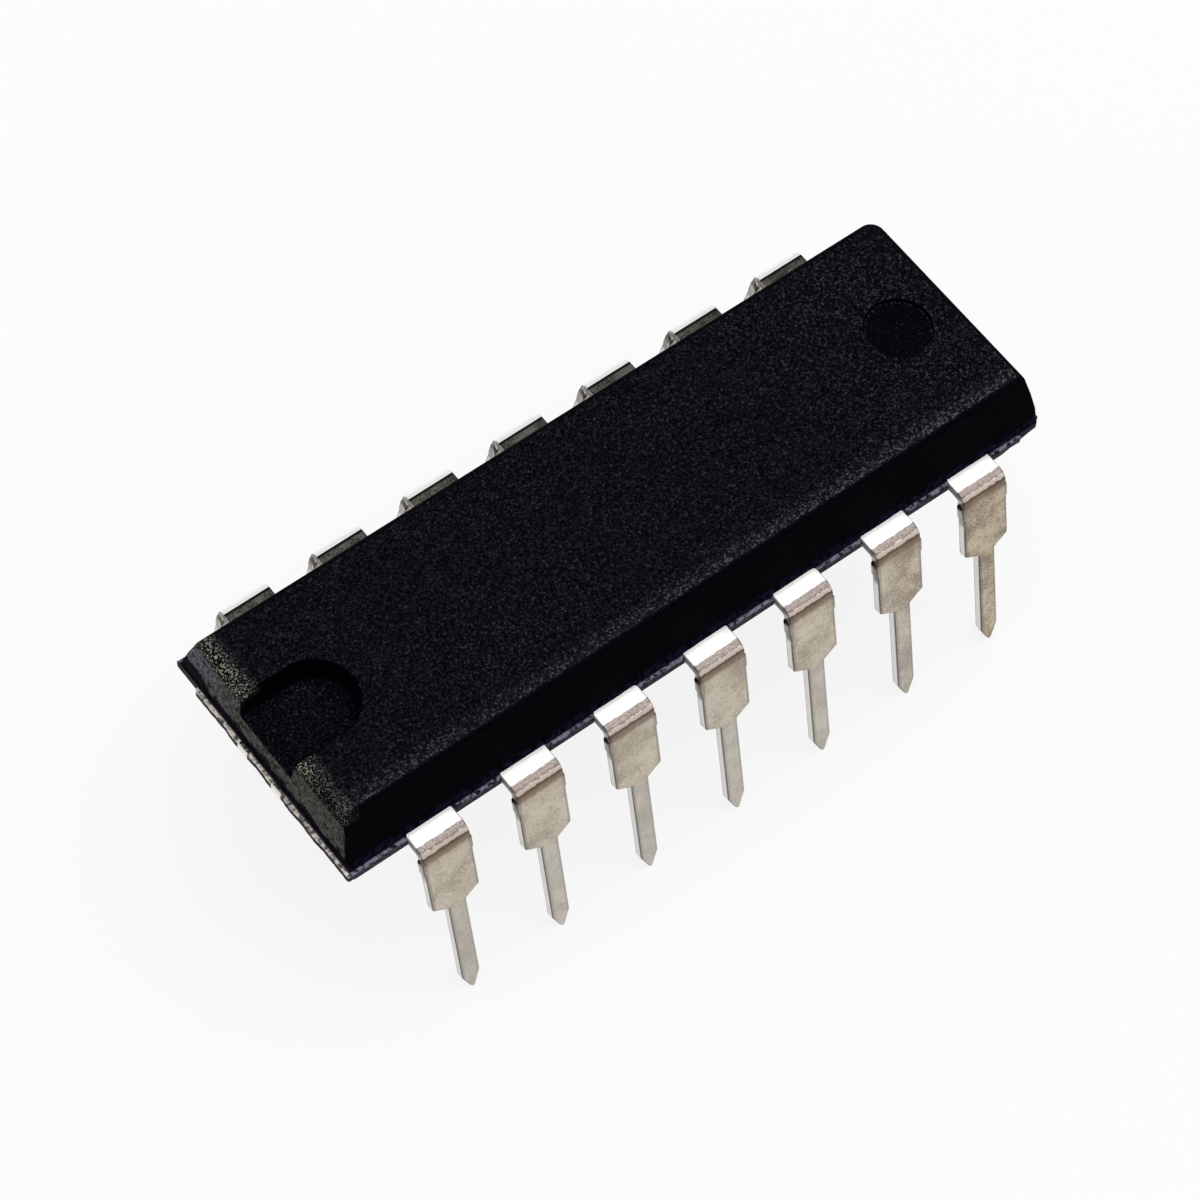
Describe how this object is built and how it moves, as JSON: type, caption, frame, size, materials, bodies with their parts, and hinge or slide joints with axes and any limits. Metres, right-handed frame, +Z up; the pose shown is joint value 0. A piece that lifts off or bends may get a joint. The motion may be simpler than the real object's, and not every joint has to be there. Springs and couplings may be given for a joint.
{
  "type": "dual in-line integrated circuit",
  "caption": "Dual in-line integrated circuit: black moulded body with a half-round end notch and two rows of bent, splayed leads on a standard pitch.",
  "frame": {"origin": "on the ground midway between the two rows of lead tips, below the middle of the body", "axes": "+X along the body from the notched end to the other, +Y across to the back row of leads, +Z up from the lead tips to the top face"},
  "size_m": [0.0198, 0.0098, 0.0069],
  "materials": {
    "mould_compound": "satin",
    "tinned_lead": "satin",
    "copper_pad": "satin",
    "silver_epoxy": "matte",
    "silicon": "gloss",
    "gold_wire": "polished"
  },
  "bodies": {
    "root": {"moulded_body": "mould_compound", "die_pad": "copper_pad", "die_attach": "silver_epoxy", "silicon_die": "silicon", "lead_1": "tinned_lead", "lead_2": "tinned_lead", "lead_3": "tinned_lead", "lead_4": "tinned_lead", "lead_5": "tinned_lead", "lead_6": "tinned_lead", "lead_7": "tinned_lead", "lead_8": "tinned_lead", "lead_9": "tinned_lead", "lead_10": "tinned_lead", "lead_11": "tinned_lead", "lead_12": "tinned_lead", "lead_13": "tinned_lead", "lead_14": "tinned_lead", "bond_wire_1": "gold_wire", "bond_wire_2": "gold_wire", "bond_wire_3": "gold_wire", "bond_wire_4": "gold_wire", "bond_wire_5": "gold_wire", "bond_wire_6": "gold_wire", "bond_wire_7": "gold_wire", "bond_wire_8": "gold_wire", "bond_wire_9": "gold_wire", "bond_wire_10": "gold_wire", "bond_wire_11": "gold_wire", "bond_wire_12": "gold_wire", "bond_wire_13": "gold_wire", "bond_wire_14": "gold_wire"}
  },
  "joints": []
}
